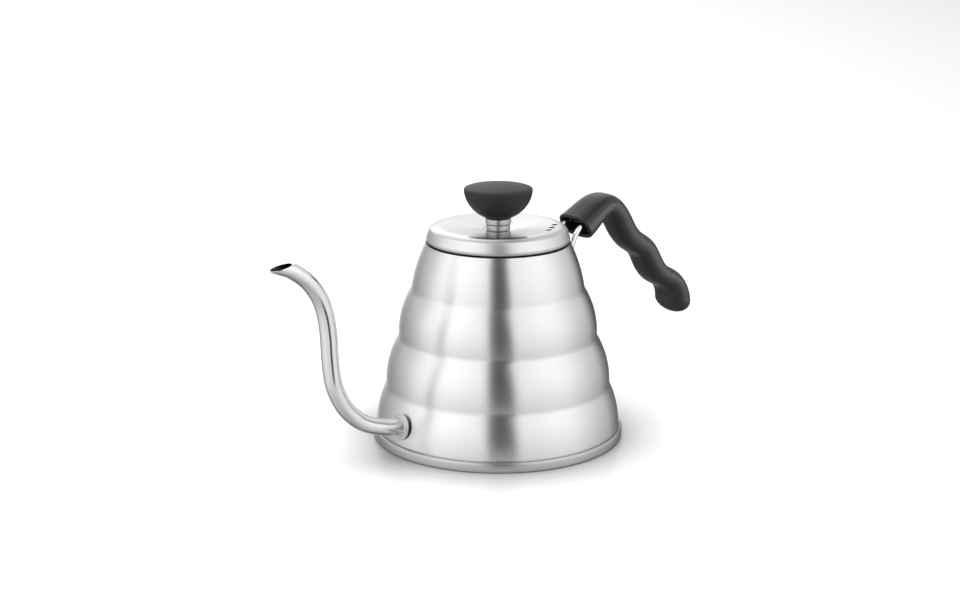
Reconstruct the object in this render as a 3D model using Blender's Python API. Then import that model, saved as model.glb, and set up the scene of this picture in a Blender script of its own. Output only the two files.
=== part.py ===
"""Gooseneck pour-over kettle: a beehive steel body, a swan-neck spout, a lift-off lid and a side handle.

Units are metres, +Z is up. The origin is the centre of the base on the surface the kettle stands on.
The handle reaches towards +X and the spout towards -X, so Y = 0 is the plane of symmetry.
"""

import math

import bmesh
import bpy
from mathutils import Vector

MM = 0.001
SIDEWAYS = Vector((0.0, 1.0, 0.0))
GAP = 0.3 * MM
# Faces that meet at more than this angle keep a sharp edge between them.
SHARP_DEG = 38.0

# Body: radius and height of each waist, from the mouth down to the foot.
SHEET = 0.8 * MM
MOUTH_R = 41.4 * MM
MOUTH_Z = 112.4 * MM
LEDGE_Z = 113.4 * MM
NECK_R = 37.9 * MM
NECK_BOTTOM_Z = 109.4 * MM
WAISTS = [
    (49.5 * MM, 86.5 * MM),
    (56.8 * MM, 58.7 * MM),
    (64.4 * MM, 30.3 * MM),
    (70.0 * MM, 6.5 * MM),
]
# Lean of the wall from the vertical at the foot of each bulge, in radians.
BULGE_END_LEAN = [0.14, -0.06, -0.04, -0.01]
BULGE_STEPS = 4
ROUND_STEPS = 40

# Foot: the rolled seam ring, and the base pan that it holds.
FOOT_R = 72.0 * MM
FOOT_HEIGHT = 6.0 * MM
FOOT_INNER_R = 70.0 * MM + GAP
PAN_R = 68.8 * MM
PAN_RIM_Z = 7.5 * MM

# Lid: a dished cap with a bulging skirt, and the plug ring that drops into the mouth.
LID_CREST_R = 37.6 * MM
LID_CREST_Z = 122.9 * MM
LID_SHOULDER_R = 38.8 * MM
LID_SHOULDER_Z = 121.2 * MM
LID_SEAT_R = 8.0 * MM
LID_SEAT_Z = 120.0 * MM
LID_BULGE_R = 40.9 * MM
LID_BULGE_Z = 115.9 * MM
LID_HEM_R = 40.4 * MM
LID_HEM_Z = LEDGE_Z + 0.4 * MM
PLUG_R = NECK_R - 0.4 * MM
PLUG_BOTTOM_Z = 107.6 * MM
DISH_STEPS = 4
# How the dish rises from the seat: 1 would be a cone.
DISH_POWER = 0.6
# The three vents stand in a straight row: the middle one's centre, the row's heading and its pitch.
VENT_R = 1.7 * MM
VENT_MIDDLE = (19.7 * MM, -23.6 * MM)
VENT_ROW_HEADING = 36.2
VENT_PITCH = 6.9 * MM
VENT_SIDES = 14

# Knob, the two stem rings under it, and its screw.
KNOB_R = 19.5 * MM
KNOB_RIM_Z = 142.8 * MM
KNOB_TOP_Z = 146.6 * MM
KNOB_FOOT_R = 7.2 * MM
KNOB_FOOT_Z = 127.4 * MM
LOWER_RING_R = 6.9 * MM
UPPER_RING_R = 7.3 * MM
RING_SPLIT_Z = 123.7 * MM
SCREW_R = 2.0 * MM
INSERT_R = 3.6 * MM
INSERT_TOP_Z = 138.5 * MM
KNOB_STEPS = 8
# Where the knob's bowl starts and ends on its ellipse, in degrees from the bottom.
KNOB_BOWL_FROM = 22.0
KNOB_BOWL_TO = 85.0
RING_SIDES = 32
SCREW_SIDES = 24
WASHER_R = 5.5 * MM
WASHER_THICKNESS = 0.8 * MM
KNOB_SCREW_HEAD_R = 3.8 * MM
KNOB_SCREW_HEAD_HEIGHT = 2.2 * MM

# Spout: distance from the axis and height in millimetres, and heading in degrees, along its middle.
SPOUT_R = 4.75 * MM
SPOUT_TIP_R = 4.3 * MM
SPOUT_SHEET = 0.7 * MM
SPOUT_ROOT = (69.6, 17.3, 9.0)
SPOUT_KNOTS = [
    SPOUT_ROOT,
    (83.0, 20.1, 15.0),
    (98.6, 27.4, 40.0),
    (109.3, 39.7, 62.0),
    (114.5, 53.5, 81.0),
    (116.2, 73.0, 88.0),
    (118.3, 90.6, 77.0),
    (123.8, 103.5, 57.0),
    (131.1, 112.0, 40.0),
    (138.0, 116.9, 31.0),
]
SPOUT_TIP = (145.0, 120.3, 27.0)
# The tip is cut along a line through its middle with this heading.
TIP_CUT_DEG = -9.8
SPOUT_STEPS = 3
SPOUT_SIDES = 12
# Share of the spout's length after which it slims towards the tip.
SPOUT_SLIM_FROM = 0.6
COLLAR_R = 7.5 * MM
COLLAR_THICKNESS = 1.6 * MM

# Handle grip: the same kind of knots, then thickness and width at even steps along it.
GRIP_KNOTS = [
    (58.0, 113.8, 27.0),
    (68.1, 120.3, 33.0),
    (79.4, 124.7, -4.0),
    (87.3, 119.5, -48.0),
    (93.2, 110.9, -60.0),
    (101.2, 100.8, -41.0),
    (111.2, 93.7, -45.0),
    (116.8, 85.1, -61.0),
    (123.4, 76.6, -41.0),
    (132.9, 70.9, -38.0),
    (139.0, 61.8, -72.0),
    (138.8, 48.9, -108.0),
]
GRIP_THICKNESS = [15.4, 12.9, 13.0, 13.4, 13.5, 13.3, 13.1, 12.9, 12.6]
GRIP_WIDTH = [26.5, 24.0, 21.0, 19.8, 19.8, 21.2, 23.0, 25.2, 27.0]
GRIP_SQUARENESS = 2.75
GRIP_STEPS = 2
GRIP_SIDES = 20
GRIP_CAP = 8.5 * MM
GRIP_CAP_STEPS = 4
GRIP_WALL = 2.0 * MM
POCKET_DEPTH = 21.0 * MM

# Bracket: two bent rods from a saddle on the shoulder into the grip, and the tang plate between them.
ROD_R = 1.6 * MM
ROD_OFFSET = 7.0 * MM
ROD_SIDES = 10
ROD_STEPS = 3
ROD_KNOTS = [(49.0, 103.4, 66.0), (51.7, 109.6, 64.0), (57.0, 115.3, 29.0), (68.0, 121.3, 29.0)]
SADDLE_LOW_Z = 94.0 * MM
SADDLE_HIGH_Z = 104.0 * MM
SADDLE_HALF_ANGLE = 14.0
SADDLE_THICKNESS = 1.2 * MM
SADDLE_STEPS = 7
SADDLE_ROWS = 3
TANG_START = (61.0, 116.1)
TANG_HEADING = 26.0
TANG_LENGTH = 9.2 * MM
TANG_WIDTH = 9.6 * MM
TANG_THICKNESS = 1.8 * MM
GRIP_SCREW_ALONG_TANG = 4.2 * MM
GRIP_SCREW_R = 1.5 * MM
GRIP_SCREW_SIDES = 16
GRIP_SCREW_HEAD_R = 2.8 * MM
GRIP_SCREW_HEAD_HEIGHT = 1.8 * MM
GRIP_SCREW_HOLE_R = 1.9 * MM
GRIP_NUT_R = 2.9 * MM
GRIP_NUT_HEIGHT = 2.0 * MM
GRIP_NUT_SIDES = 12
# From the tang to the outside of the grip under it.
UNDERSIDE_DEPTH = 8.1 * MM

# Finishes: name, colour, roughness and metallic value.
SATIN_STEEL = ("satin_steel", (0.66, 0.66, 0.67, 1.0), 0.3, 1.0)
POLISHED_STEEL = ("polished_steel", (0.74, 0.74, 0.75, 1.0), 0.14, 1.0)
PLAIN_STEEL = ("fastener_steel", (0.6, 0.6, 0.6, 1.0), 0.4, 1.0)
BLACK_PHENOLIC = ("black_phenolic", (0.035, 0.035, 0.038, 1.0), 0.45, 0.0)
BRASS = ("brass", (0.62, 0.47, 0.22, 1.0), 0.35, 1.0)


def clear_scene():
    """Removes whatever the opened file holds."""
    for thing in list(bpy.data.objects):
        bpy.data.objects.remove(thing, do_unlink=True)


def material_of(finish):
    """The Principled material of one of the finishes above, made once."""
    name, colour, roughness, metallic = finish
    known = bpy.data.materials.get(name)
    if known:
        return known
    made = bpy.data.materials.new(name)
    made.use_nodes = True
    shader = made.node_tree.nodes["Principled BSDF"]
    shader.inputs["Base Color"].default_value = colour
    shader.inputs["Roughness"].default_value = roughness
    shader.inputs["Metallic"].default_value = metallic
    return made


def place(name, skin, finish, parent=None):
    """Turns a finished bmesh into a named object with its material."""
    bmesh.ops.recalc_face_normals(skin, faces=skin.faces)
    mesh = bpy.data.meshes.new(name)
    skin.to_mesh(mesh)
    skin.free()
    mesh.materials.append(material_of(finish))
    mesh.shade_smooth()
    mesh.set_sharp_from_angle(angle=math.radians(SHARP_DEG))
    made = bpy.data.objects.new(name, mesh)
    bpy.context.scene.collection.objects.link(made)
    made.parent = parent
    return made


def loft(skin, rings, closed=False):
    """Joins rings of points into a skin. A ring of one point is a pole; a closed loft meets its start."""
    made = [[skin.verts.new(point) for point in ring] for ring in rings]
    pairs = list(zip(made, made[1:]))
    if closed:
        pairs.append((made[-1], made[0]))
    for low, high in pairs:
        count = max(len(low), len(high))
        for here in range(count):
            there = here + 1
            corners = [
                low[here % len(low)],
                low[there % count % len(low)],
                high[there % count % len(high)],
                high[here % len(high)],
            ]
            skin.faces.new(list(dict.fromkeys(corners)))
    return made


def circle(radius, height, steps):
    """A level ring about the Z axis, or its pole where the radius is nothing."""
    if radius == 0.0:
        return [Vector((0.0, 0.0, height))]
    turns = [2.0 * math.pi * step / steps for step in range(steps)]
    return [Vector((radius * math.cos(a), radius * math.sin(a), height)) for a in turns]


def turned(name, outline, finish, steps=ROUND_STEPS, parent=None):
    """A piece turned about the Z axis from an outline of (radius, height) points."""
    skin = bmesh.new()
    on_axis = outline[0][0] == 0.0
    loft(skin, [circle(radius, height, steps) for radius, height in outline], closed=not on_axis)
    return place(name, skin, finish, parent)


def arc(start, end, end_lean, steps):
    """Points from start to end on the arc that leans end_lean from the vertical where it ends, going down."""
    drop = start[1] - end[1]
    out = end[0] - start[0]
    chord = math.hypot(out, drop)
    chord_lean = math.atan2(out, drop)
    turn = 2.0 * (chord_lean - end_lean)
    radius = chord / (2.0 * math.sin(turn / 2.0))
    start_lean = end_lean + turn
    points = []
    for step in range(steps + 1):
        lean = start_lean - turn * step / steps
        across = radius * (math.cos(lean) - math.cos(start_lean))
        down = radius * (math.sin(start_lean) - math.sin(lean))
        points.append((start[0] + across, start[1] - down))
    return points


def offset(outline, distance):
    """The open outline moved sideways: inwards, towards the axis, where distance is positive."""
    moved = []
    for here, (radius, height) in enumerate(outline):
        before = outline[max(here - 1, 0)]
        after = outline[min(here + 1, len(outline) - 1)]
        along = Vector((after[0] - before[0], after[1] - before[1])).normalized()
        moved.append((radius + along.y * distance, height - along.x * distance))
    return moved


def heading_vector(degrees):
    """The unit vector in the XZ plane at this angle above +X."""
    angle = math.radians(degrees)
    return Vector((math.cos(angle), 0.0, math.sin(angle)))


def route(knots, steps):
    """Points and unit headings along a smooth curve through knots of (x, z, heading)."""
    found = []
    for (x0, z0, a0), (x1, z1, a1) in zip(knots, knots[1:]):
        start = Vector((x0, 0.0, z0)) * MM
        end = Vector((x1, 0.0, z1)) * MM
        reach = (end - start).length / 3.0
        lead = start + heading_vector(a0) * reach
        trail = end - heading_vector(a1) * reach
        for step in range(steps):
            t = step / steps
            u = 1.0 - t
            point = start * u**3 + lead * (3 * u * u * t) + trail * (3 * u * t * t) + end * t**3
            slope = (lead - start) * (u * u) + (trail - lead) * (2 * u * t) + (end - trail) * (t * t)
            found.append((point, slope.normalized()))
    x, z, angle = knots[-1]
    found.append((Vector((x, 0.0, z)) * MM, heading_vector(angle)))
    return found


def distances(stations):
    """How far along the route each station is."""
    travelled = [0.0]
    for (here, _), (there, _) in zip(stations, stations[1:]):
        travelled.append(travelled[-1] + (there - here).length)
    return travelled


def between(values, share):
    """The value at this share of the way along an evenly spaced list."""
    place_in_list = min(max(share, 0.0), 1.0) * (len(values) - 1)
    low = min(int(place_in_list), len(values) - 2)
    return values[low] + (values[low + 1] - values[low]) * (place_in_list - low)


def cross_section(centre, heading, half_width, half_height, sides, squareness=2.0):
    """A rounded section square to the heading: a circle where squareness is 2, boxier above it."""
    upward = Vector((-heading.z, 0.0, heading.x))
    points = []
    for side in range(sides):
        angle = 2.0 * math.pi * side / sides
        wide = math.copysign(abs(math.cos(angle)) ** (2.0 / squareness), math.cos(angle))
        high = math.copysign(abs(math.sin(angle)) ** (2.0 / squareness), math.sin(angle))
        points.append(centre + SIDEWAYS * (wide * half_width) + upward * (high * half_height))
    return points


def rod_between(name, start, end, radius, sides, finish):
    """A plain round rod from one point to another."""
    heading = (end - start).normalized()
    skin = bmesh.new()
    rings = [cross_section(point, heading, radius, radius, sides) for point in (start, end)]
    loft(skin, [[start]] + rings + [[end]])
    return place(name, skin, finish)


def cut(target, cutter):
    """Leaves a live Boolean cut on the target and hides the cutter."""
    modifier = target.modifiers.new("cut_" + cutter.name, "BOOLEAN")
    modifier.operation = "DIFFERENCE"
    modifier.solver = "EXACT"
    modifier.object = cutter
    cutter.hide_render = True
    cutter.display_type = "WIRE"


def body_wall():
    """The outside of the body from the mouth down, as (radius, height) points."""
    wall = []
    start = (MOUTH_R, MOUTH_Z)
    for waist, lean in zip(WAISTS, BULGE_END_LEAN):
        wall += arc(start, waist, lean, BULGE_STEPS)[:-1]
        start = waist
    return wall + [WAISTS[-1]]


def wall_radius(height):
    """Radius of the body's outside at this height."""
    wall = body_wall()
    for (r0, z0), (r1, z1) in zip(wall, wall[1:]):
        if z1 <= height <= z0:
            return r0 + (r1 - r0) * (z0 - height) / (z0 - z1)
    return wall[-1][0]


def spout_stations():
    """The spout's stations from root to tip, on the -X side."""
    stations = route(SPOUT_KNOTS, SPOUT_STEPS)
    x, z, angle = SPOUT_TIP
    stations.append((Vector((x, 0.0, z)) * MM, heading_vector(angle)))
    return [(Vector((-p.x, 0.0, p.z)), Vector((-h.x, 0.0, h.z))) for p, h in stations]


def make_body_shell():
    """The sheet body: four bulges, and a mouth turned in to a ledge and a short neck."""
    outside = body_wall() + [(WAISTS[-1][0], GAP)]
    inside = offset(body_wall(), SHEET) + [(WAISTS[-1][0] - SHEET, GAP)]
    mouth_out = [
        (MOUTH_R - 0.3 * MM, LEDGE_Z - 0.3 * MM),
        (MOUTH_R - 1.1 * MM, LEDGE_Z),
        (NECK_R + 0.8 * MM, LEDGE_Z),
        (NECK_R, LEDGE_Z - 0.8 * MM),
        (NECK_R, NECK_BOTTOM_Z),
    ]
    mouth_in = [
        (NECK_R + SHEET, NECK_BOTTOM_Z),
        (NECK_R + SHEET, LEDGE_Z - 1.2 * MM),
        (NECK_R + 1.2 * MM, LEDGE_Z - SHEET),
        (MOUTH_R - 1.3 * MM, LEDGE_Z - SHEET),
    ]
    outline = outside[::-1] + mouth_out + mouth_in + inside
    shell = turned("body_shell", outline, SATIN_STEEL)
    root, heading = spout_stations()[0]
    bore = SPOUT_R - SPOUT_SHEET
    hole = rod_between(
        "spout_hole", root + heading * (3 * MM), root - heading * (8 * MM), bore, SPOUT_SIDES, SATIN_STEEL
    )
    cut(shell, hole)


def make_foot():
    """The base pan and the seam ring rolled around it and the shell."""
    rim_in = PAN_R - SHEET
    turned(
        "base_pan",
        [
            (0.0, 0.0),
            (PAN_R - 1.0 * MM, 0.0),
            (PAN_R, 1.0 * MM),
            (PAN_R, PAN_RIM_Z),
            (rim_in, PAN_RIM_Z),
            (rim_in, 1.4 * MM),
            (rim_in - 0.6 * MM, SHEET),
            (0.0, SHEET),
        ],
        SATIN_STEEL,
    )
    lip = FOOT_R - 1.2 * MM
    turned(
        "seam_ring",
        [
            (FOOT_INNER_R, 0.0),
            (FOOT_R - 0.9 * MM, 0.0),
            (FOOT_R - 0.2 * MM, 0.4 * MM),
            (FOOT_R, 1.4 * MM),
            (FOOT_R, 4.0 * MM),
            (FOOT_R - 0.4 * MM, 5.2 * MM),
            (lip, FOOT_HEIGHT),
            (FOOT_INNER_R, FOOT_HEIGHT - 0.4 * MM),
        ],
        SATIN_STEEL,
    )


def make_spout():
    """The swan-neck tube, cut on a slant at its tip, and the welded collar at its root."""
    stations = spout_stations()
    travelled = distances(stations)
    rings = {SPOUT_R: [], SPOUT_R - SPOUT_SHEET: []}
    tip, tip_heading = stations[-1]
    cut_line = heading_vector(180.0 - TIP_CUT_DEG)
    cut_normal = Vector((-cut_line.z, 0.0, cut_line.x))
    for radius, made in rings.items():
        for (centre, heading), distance in zip(stations, travelled):
            share = max(0.0, distance / travelled[-1] - SPOUT_SLIM_FROM) / (1.0 - SPOUT_SLIM_FROM)
            slim = radius - (SPOUT_R - SPOUT_TIP_R) * share
            made.append(cross_section(centre, heading, slim, slim, SPOUT_SIDES))
        made[-1] = [
            point - tip_heading * ((point - tip).dot(cut_normal) / tip_heading.dot(cut_normal))
            for point in made[-1]
        ]
    outer, inner = rings.values()
    skin = bmesh.new()
    loft(skin, outer + inner[::-1], closed=True)
    place("spout_tube", skin, SATIN_STEEL)

    root, heading = stations[0]
    face = root + heading * COLLAR_THICKNESS
    bore = SPOUT_R + GAP
    edge = 0.4 * MM
    profile = [
        (root, bore),
        (root, COLLAR_R),
        (face - heading * edge, COLLAR_R),
        (face, COLLAR_R - edge),
        (face, bore),
    ]
    skin = bmesh.new()
    loft(skin, [cross_section(c, heading, r, r, 2 * SPOUT_SIDES) for c, r in profile], closed=True)
    place("spout_collar", skin, POLISHED_STEEL)


def skirt_outline():
    """The lid's skirt from its rounded shoulder over the bulge down to the hem."""
    rounding = 0.4 * MM
    points = [(LID_SHOULDER_R - rounding, LID_CREST_Z - rounding), (LID_SHOULDER_R, LID_SHOULDER_Z)]
    for (r0, z0), (r1, z1), power in (
        ((LID_SHOULDER_R, LID_SHOULDER_Z), (LID_BULGE_R, LID_BULGE_Z), 0.8),
        ((LID_BULGE_R, LID_BULGE_Z), (LID_HEM_R, LID_HEM_Z), 2.0),
    ):
        for t in (0.5, 1.0):
            points.append((r0 + (r1 - r0) * t**power, z0 + (z1 - z0) * t))
    return points


def dish_outline():
    """The lid's top from the stem's seat out to its crest."""
    points = []
    for step in range(DISH_STEPS + 1):
        t = step / DISH_STEPS
        radius = LID_SEAT_R + (LID_CREST_R - LID_SEAT_R) * t
        points.append((radius, LID_SEAT_Z + (LID_CREST_Z - LID_SEAT_Z) * t**DISH_POWER))
    return points


def make_lid(lift):
    """The lid's cap with its three vents, and the plug ring that steadies it in the mouth."""
    outside = [(SCREW_R + GAP, LID_SEAT_Z)] + dish_outline() + skirt_outline()
    inside = offset(outside, SHEET)
    inside[0] = (SCREW_R + GAP, LID_SEAT_Z - SHEET)
    inside[-1] = (LID_HEM_R - SHEET, LID_HEM_Z)
    cap = turned("lid_cap", outside + inside[::-1], POLISHED_STEEL, parent=lift)
    heading = math.radians(VENT_ROW_HEADING)
    along_row = Vector((math.cos(heading), math.sin(heading), 0.0))
    for number in (1, 2, 3):
        spot = Vector((*VENT_MIDDLE, 0.0)) + along_row * VENT_PITCH * (number - 2)
        foot = spot + Vector((0.0, 0.0, LID_SEAT_Z - 4 * MM))
        head = spot + Vector((0.0, 0.0, LID_CREST_Z + 4 * MM))
        hole = rod_between(f"vent_hole_{number}", foot, head, VENT_R, VENT_SIDES, POLISHED_STEEL)
        cut(cap, hole)

    flange_r = LID_HEM_R - SHEET - GAP
    flange_z = LEDGE_Z + GAP
    turned(
        "lid_plug_ring",
        [
            (PLUG_R - SHEET, PLUG_BOTTOM_Z),
            (PLUG_R, PLUG_BOTTOM_Z),
            (PLUG_R, flange_z),
            (flange_r, flange_z),
            (flange_r, flange_z + SHEET),
            (PLUG_R - SHEET, flange_z + SHEET),
        ],
        SATIN_STEEL,
        parent=lift,
    )


def knob_outline():
    """The knob's outside from the foot up to the crown, an elliptical bowl under a shallow dome."""
    bottom, top = math.radians(KNOB_BOWL_FROM), math.radians(KNOB_BOWL_TO)
    bowl = []
    for step in range(KNOB_STEPS + 1):
        turn = bottom + (top - bottom) * step / KNOB_STEPS
        out = (math.sin(turn) - math.sin(bottom)) / (math.sin(top) - math.sin(bottom))
        rise = (math.cos(bottom) - math.cos(turn)) / (math.cos(bottom) - math.cos(top))
        radius = KNOB_FOOT_R + (KNOB_R - KNOB_FOOT_R) * out
        height = KNOB_FOOT_Z + (KNOB_RIM_Z - KNOB_FOOT_Z) * rise
        bowl.append((radius, height))
    shoulder_r = KNOB_R - 2.2 * MM
    shoulder_z = KNOB_RIM_Z + 2.1 * MM
    crown = [
        (KNOB_R - 0.5 * MM, KNOB_RIM_Z + 1.1 * MM),
        (shoulder_r, shoulder_z),
        (shoulder_r * 0.66, shoulder_z + (KNOB_TOP_Z - shoulder_z) * 0.56),
        (shoulder_r * 0.33, shoulder_z + (KNOB_TOP_Z - shoulder_z) * 0.89),
        (0.0, KNOB_TOP_Z),
    ]
    return bowl + crown


def bush_outline(inner, outer, low, high, edge=0.0):
    """A plain ring with its outer edges eased by a chamfer."""
    if edge == 0.0:
        return [(inner, low), (outer, low), (outer, high), (inner, high)]
    return [
        (inner, low),
        (outer - edge, low),
        (outer, low + edge),
        (outer, high - edge),
        (outer - edge, high),
        (inner, high),
    ]


def make_knob(lift):
    """The knob, its two stem rings, and the screw that holds the stack to the lid from inside."""
    socket_r = INSERT_R + GAP
    socket = [
        (0.0, INSERT_TOP_Z + 1.5 * MM),
        (socket_r, INSERT_TOP_Z + 1.5 * MM),
        (socket_r, KNOB_FOOT_Z),
    ]
    turned("lid_knob", socket + knob_outline(), BLACK_PHENOLIC, parent=lift)

    bore = SCREW_R + GAP
    edge = 0.4 * MM
    rings = [
        ("stem_ring_lower", LOWER_RING_R, LID_SEAT_Z + GAP, RING_SPLIT_Z - 0.15 * MM),
        ("stem_ring_upper", UPPER_RING_R, RING_SPLIT_Z + 0.15 * MM, KNOB_FOOT_Z - GAP),
    ]
    for name, radius, low, high in rings:
        turned(name, bush_outline(bore, radius, low, high, edge), POLISHED_STEEL, RING_SIDES, lift)
    insert = bush_outline(bore, INSERT_R, KNOB_FOOT_Z + GAP, INSERT_TOP_Z)
    turned("knob_insert", insert, BRASS, SCREW_SIDES, lift)

    washer_top = LID_SEAT_Z - SHEET - GAP
    washer_low = washer_top - WASHER_THICKNESS
    washer = bush_outline(bore, WASHER_R, washer_low, washer_top)
    turned("knob_washer", washer, PLAIN_STEEL, SCREW_SIDES, lift)
    head_top = washer_low - GAP
    head_low = head_top - KNOB_SCREW_HEAD_HEIGHT
    screw = [
        (0.0, head_low),
        (KNOB_SCREW_HEAD_R * 0.75, head_low),
        (KNOB_SCREW_HEAD_R, head_low + 0.8 * MM),
        (KNOB_SCREW_HEAD_R, head_top),
        (SCREW_R, head_top),
        (SCREW_R, INSERT_TOP_Z),
        (0.0, INSERT_TOP_Z),
    ]
    turned("knob_screw", screw, PLAIN_STEEL, SCREW_SIDES, lift)


def grip_half_size(share):
    """Half the grip's width and half its thickness at this share of its length."""
    return between(GRIP_WIDTH, share) * MM / 2, between(GRIP_THICKNESS, share) * MM / 2


def grip_stations():
    """Centre, heading, half width and half thickness along the grip, ending in a rounded cap."""
    stations = route(GRIP_KNOTS, GRIP_STEPS)
    travelled = distances(stations)
    length = travelled[-1]
    found = []
    for (centre, heading), distance in zip(stations, travelled):
        if distance < length - GRIP_CAP:
            found.append((distance, centre, heading, *grip_half_size(distance / length)))
    end, end_heading = stations[-1]
    for step in range(GRIP_CAP_STEPS):
        turn = 0.5 * math.pi * step / GRIP_CAP_STEPS
        distance = length - GRIP_CAP * (1.0 - math.sin(turn))
        centre = end - end_heading * (length - distance)
        half_width, half_thickness = grip_half_size(distance / length)
        slim = math.cos(turn)
        found.append((distance, centre, end_heading, slim * half_width, slim * half_thickness))
    return found, end


def make_grip():
    """The moulded grip, open at its front where the bracket goes in."""
    stations, end = grip_stations()
    outer = []
    pocket = []
    for distance, centre, heading, half_width, half_thickness in stations:
        size = (half_width, half_thickness)
        outer.append(cross_section(centre, heading, *size, GRIP_SIDES, GRIP_SQUARENESS))
        if distance < POCKET_DEPTH:
            size = (half_width - GRIP_WALL, half_thickness - GRIP_WALL)
            pocket.append(cross_section(centre, heading, *size, GRIP_SIDES, GRIP_SQUARENESS))
            pocket_end = centre
    skin = bmesh.new()
    loft(skin, [[pocket_end]] + pocket[::-1] + outer + [[end]])
    grip = place("handle_grip", skin, BLACK_PHENOLIC)
    foot, head = grip_screw_ends()
    along = (head - foot).normalized()
    start = foot - along * (6 * MM)
    hole = rod_between("grip_screw_hole", start, head, GRIP_SCREW_HOLE_R, GRIP_SCREW_SIDES, BRASS)
    cut(grip, hole)


def tang_frame():
    """Middle of the tang's front edge, its heading and its upward direction."""
    x, z = TANG_START
    heading = heading_vector(TANG_HEADING)
    return Vector((x, 0.0, z)) * MM, heading, Vector((-heading.z, 0.0, heading.x))


def grip_screw_ends():
    """The grip screw's axis: from outside the underside up through the tang."""
    start, heading, upward = tang_frame()
    middle = start + heading * GRIP_SCREW_ALONG_TANG
    return middle - upward * (UNDERSIDE_DEPTH + 2 * MM), middle + upward * (3.4 * MM)


def make_tang():
    """The flat tang between the rods, drilled for the grip screw, and the screw and nut themselves."""
    start, heading, upward = tang_frame()
    sideways = Vector((0.0, TANG_WIDTH / 2, 0.0))
    lift = upward * (TANG_THICKNESS / 2)
    skin = bmesh.new()
    rings = []
    for distance in (0.0, TANG_LENGTH):
        low = start + heading * distance - lift
        high = low + lift * 2
        rings.append([low + sideways, low - sideways, high - sideways, high + sideways])
    made = loft(skin, rings)
    skin.faces.new(made[0])
    skin.faces.new(made[-1])
    tang = place("handle_tang", skin, SATIN_STEEL)
    bevel = tang.modifiers.new("eased_edges", "BEVEL")
    bevel.width = 0.3 * MM
    bevel.segments = 1
    foot, head = grip_screw_ends()
    cut(tang, rod_between("tang_hole", foot, head, GRIP_SCREW_R + GAP, GRIP_SCREW_SIDES, BRASS))

    along = (head - foot).normalized()
    middle = start + heading * GRIP_SCREW_ALONG_TANG
    head_top = middle - upward * (UNDERSIDE_DEPTH + GAP)
    head_low = head_top - upward * GRIP_SCREW_HEAD_HEIGHT
    edge = 0.6 * MM
    profile = [
        (head_low, GRIP_SCREW_HEAD_R - edge),
        (head_low + along * edge, GRIP_SCREW_HEAD_R),
        (head_top, GRIP_SCREW_HEAD_R),
        (head_top, GRIP_SCREW_R),
        (head, GRIP_SCREW_R),
    ]
    skin = bmesh.new()
    rings = [cross_section(c, along, r, r, GRIP_SCREW_SIDES) for c, r in profile]
    loft(skin, [[head_low]] + rings + [[head]])
    place("grip_screw", skin, PLAIN_STEEL)

    nut_low = middle + upward * (TANG_THICKNESS / 2 + GAP)
    nut_high = nut_low + upward * GRIP_NUT_HEIGHT
    bore = GRIP_SCREW_R + GAP
    profile = [(nut_low, bore), (nut_low, GRIP_NUT_R), (nut_high, GRIP_NUT_R), (nut_high, bore)]
    skin = bmesh.new()
    loft(skin, [cross_section(c, along, r, r, GRIP_NUT_SIDES) for c, r in profile], closed=True)
    place("grip_nut", skin, BRASS)


def make_rods():
    """The two bracket rods, bent from the shoulder up into the grip."""
    stations = route(ROD_KNOTS, ROD_STEPS)
    for name, side in (("bracket_rod_left", -1.0), ("bracket_rod_right", 1.0)):
        aside = Vector((0.0, side * ROD_OFFSET, 0.0))
        rings = [cross_section(c + aside, h, ROD_R, ROD_R, ROD_SIDES) for c, h in stations]
        skin = bmesh.new()
        loft(skin, [[stations[0][0] + aside]] + rings + [[stations[-1][0] + aside]])
        place(name, skin, POLISHED_STEEL)


def make_saddle():
    """The pad that follows the shoulder and carries the two rods."""
    skin = bmesh.new()
    drop = (SADDLE_HIGH_Z - SADDLE_LOW_Z) / SADDLE_ROWS
    heights = [SADDLE_HIGH_Z - drop * row for row in range(SADDLE_ROWS + 1)]
    inner = [(wall_radius(height) + GAP * 1.5, height) for height in heights]
    outer = offset(inner, -SADDLE_THICKNESS)
    outline = inner + outer[::-1]
    rings = []
    for step in range(SADDLE_STEPS + 1):
        angle = math.radians(SADDLE_HALF_ANGLE * (2.0 * step / SADDLE_STEPS - 1.0))
        rings.append([Vector((r * math.cos(angle), r * math.sin(angle), z)) for r, z in outline])
    made = loft(skin, rings)
    skin.faces.new(made[0])
    skin.faces.new(made[-1])
    place("bracket_saddle", skin, SATIN_STEEL)


def build():
    """Makes every piece; the lid's pieces hang from one empty on the axis it lifts along."""
    clear_scene()
    lift = bpy.data.objects.new("lid_lift_axis", None)
    bpy.context.scene.collection.objects.link(lift)
    make_body_shell()
    make_foot()
    make_spout()
    make_lid(lift)
    make_knob(lift)
    make_grip()
    make_tang()
    make_rods()
    make_saddle()


build()
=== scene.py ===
"""Studio scene of the gooseneck kettle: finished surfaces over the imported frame, in the frame's metres."""

import math

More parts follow.
